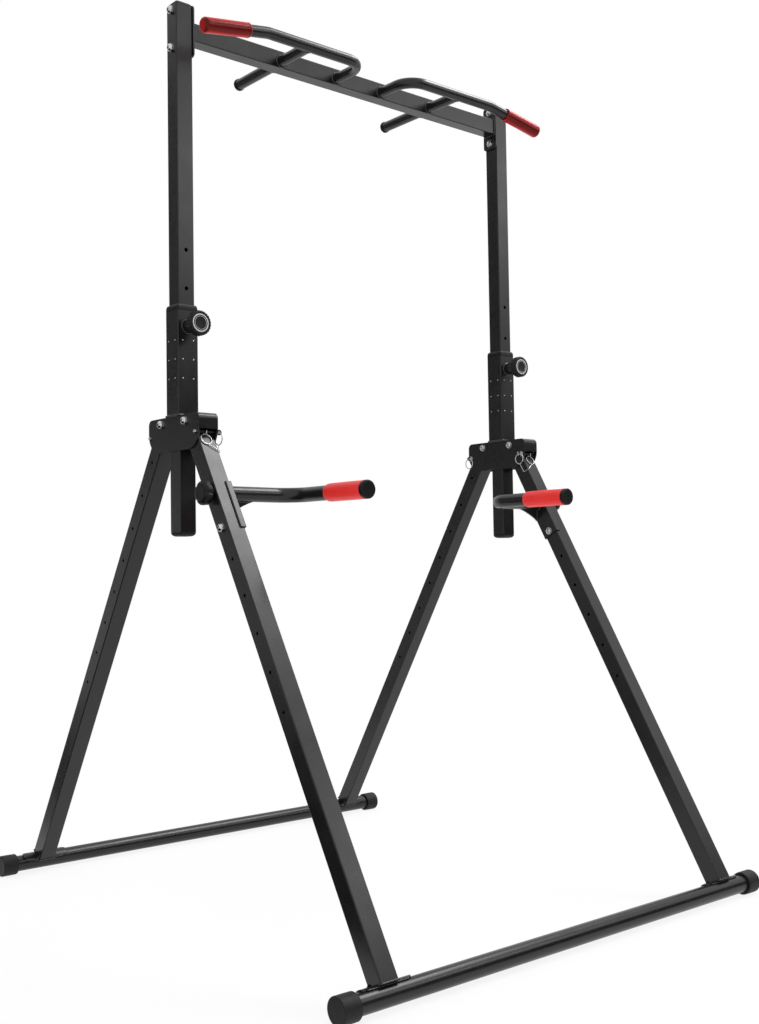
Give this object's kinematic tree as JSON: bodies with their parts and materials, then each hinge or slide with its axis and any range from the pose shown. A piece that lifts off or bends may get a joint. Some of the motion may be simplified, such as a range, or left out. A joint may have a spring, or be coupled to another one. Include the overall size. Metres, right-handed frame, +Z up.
{
  "type": "pull-up and dip tower",
  "caption": "Free-standing folding A-frame tower with a height-adjustable multi-grip pull-up bar, dip handles, sprung lock knobs and ringed stop pins.",
  "frame": {"origin": "on the floor under the middle of the tower", "axes": "+X along the crossbar to the right, -Y the front where the dip handles point, +Z up"},
  "size_m": [1.21, 1.3948, 1.991],
  "materials": {
    "powder_coat_black": "satin powder coat",
    "plastic_black": "matte moulded",
    "rubber_black": "matte rubber",
    "chrome": "bright plated",
    "grip_dark_red": "smooth dipped",
    "grip_red": "smooth soft grip"
  },
  "bodies": {
    "hinge_head": {"hinge_bracket_left": "powder_coat_black", "sleeve_left": "powder_coat_black", "sleeve_bushing_left": "plastic_black", "front_pivot_bolt_left": "chrome", "rear_pivot_bolt_left": "chrome", "hinge_bracket_right": "powder_coat_black", "sleeve_right": "powder_coat_black", "sleeve_bushing_right": "plastic_black", "front_pivot_bolt_right": "chrome", "rear_pivot_bolt_right": "chrome"},
    "mast": {"crossbar": "powder_coat_black", "post_left": "powder_coat_black", "post_cap_left": "plastic_black", "post_plug_left": "plastic_black", "upper_bar_bolt_left": "chrome", "lower_bar_bolt_left": "chrome", "pull_handle_left": "powder_coat_black", "pull_grip_left": "grip_dark_red", "neutral_bar_left": "powder_coat_black", "neutral_cap_left": "plastic_black", "post_right": "powder_coat_black", "post_cap_right": "plastic_black", "post_plug_right": "plastic_black", "upper_bar_bolt_right": "chrome", "lower_bar_bolt_right": "chrome", "pull_handle_right": "powder_coat_black", "pull_grip_right": "grip_dark_red", "neutral_bar_right": "powder_coat_black", "neutral_cap_right": "plastic_black"},
    "front_frame": {"front_floor_tube": "powder_coat_black", "front_leg_left": "powder_coat_black", "front_foot_cap_left": "rubber_black", "dip_handle_left": "powder_coat_black", "dip_grip_left": "grip_red", "dip_end_cap_left": "plastic_black", "dip_bolt_left": "chrome", "front_leg_right": "powder_coat_black", "front_foot_cap_right": "rubber_black", "dip_handle_right": "powder_coat_black", "dip_grip_right": "grip_red", "dip_end_cap_right": "plastic_black", "dip_bolt_right": "chrome"},
    "rear_frame": {"rear_floor_tube": "powder_coat_black", "rear_leg_left": "powder_coat_black", "rear_foot_cap_left": "rubber_black", "rear_leg_right": "powder_coat_black", "rear_foot_cap_right": "rubber_black"},
    "lock_knob_body_left": {"lock_knob_left": "plastic_black"},
    "dip_knob_body_left": {"dip_knob_left": "plastic_black"},
    "front_stop_pin_body_left": {"front_stop_pin_left": "chrome"},
    "front_pin_ring_body_left": {"front_pin_ring_left": "chrome"},
    "rear_stop_pin_body_left": {"rear_stop_pin_left": "chrome"},
    "rear_pin_ring_body_left": {"rear_pin_ring_left": "chrome"},
    "lock_knob_body_right": {"lock_knob_right": "plastic_black"},
    "dip_knob_body_right": {"dip_knob_right": "plastic_black"},
    "front_stop_pin_body_right": {"front_stop_pin_right": "chrome"},
    "front_pin_ring_body_right": {"front_pin_ring_right": "chrome"},
    "rear_stop_pin_body_right": {"rear_stop_pin_right": "chrome"},
    "rear_pin_ring_body_right": {"rear_pin_ring_right": "chrome"}
  },
  "joints": [
    {"name": "mast_height", "type": "slide", "parent": "hinge_head", "child": "mast", "axis": [0, 0, 1], "range_m": [-0.167, 0.167]},
    {"name": "front_frame_fold", "type": "hinge", "parent": "hinge_head", "child": "front_frame", "pos_m": [0, -0.07075, 1.07], "axis": [1, 0, 0], "range_deg": [0, 29.93]},
    {"name": "rear_frame_fold", "type": "hinge", "parent": "hinge_head", "child": "rear_frame", "pos_m": [0, 0.02625, 1.07], "axis": [-1, 0, 0], "range_deg": [0, 31.73]},
    {"name": "lock_knob_pull_left", "type": "slide", "parent": "hinge_head", "child": "lock_knob_body_left", "axis": [0, -1, 0], "range_m": [0, 0.01], "stiffness_N_per_m": 1500, "springref_m": -0.006},
    {"name": "dip_knob_turn_left", "type": "hinge", "parent": "front_frame", "child": "dip_knob_body_left", "pos_m": [-0.513, -0.16171, 0.912], "axis": [-1, 0, 0], "continuous": true},
    {"name": "front_stop_pin_pull_left", "type": "slide", "parent": "hinge_head", "child": "front_stop_pin_body_left", "axis": [1, 0, 0], "range_m": [0, 0.056]},
    {"name": "front_pin_ring_swing_left", "type": "hinge", "parent": "front_stop_pin_body_left", "child": "front_pin_ring_body_left", "pos_m": [-0.4607, -0.11376, 1.04335], "axis": [0, -1, 0], "range_deg": [-12, 150]},
    {"name": "rear_stop_pin_pull_left", "type": "slide", "parent": "hinge_head", "child": "rear_stop_pin_body_left", "axis": [1, 0, 0], "range_m": [0, 0.056]},
    {"name": "rear_pin_ring_swing_left", "type": "hinge", "parent": "rear_stop_pin_body_left", "child": "rear_pin_ring_body_left", "pos_m": [-0.4607, 0.07089, 1.04335], "axis": [0, -1, 0], "range_deg": [-12, 150]},
    {"name": "lock_knob_pull_right", "type": "slide", "parent": "hinge_head", "child": "lock_knob_body_right", "axis": [0, -1, 0], "range_m": [0, 0.01], "stiffness_N_per_m": 1500, "springref_m": -0.006},
    {"name": "dip_knob_turn_right", "type": "hinge", "parent": "front_frame", "child": "dip_knob_body_right", "pos_m": [0.513, -0.16171, 0.912], "axis": [1, 0, 0], "continuous": true},
    {"name": "front_stop_pin_pull_right", "type": "slide", "parent": "hinge_head", "child": "front_stop_pin_body_right", "axis": [-1, 0, 0], "range_m": [0, 0.056]},
    {"name": "front_pin_ring_swing_right", "type": "hinge", "parent": "front_stop_pin_body_right", "child": "front_pin_ring_body_right", "pos_m": [0.4607, -0.11376, 1.04335], "axis": [0, 1, 0], "range_deg": [-12, 150]},
    {"name": "rear_stop_pin_pull_right", "type": "slide", "parent": "hinge_head", "child": "rear_stop_pin_body_right", "axis": [-1, 0, 0], "range_m": [0, 0.056]},
    {"name": "rear_pin_ring_swing_right", "type": "hinge", "parent": "rear_stop_pin_body_right", "child": "rear_pin_ring_body_right", "pos_m": [0.4607, 0.07089, 1.04335], "axis": [0, 1, 0], "range_deg": [-12, 150]}
  ]
}
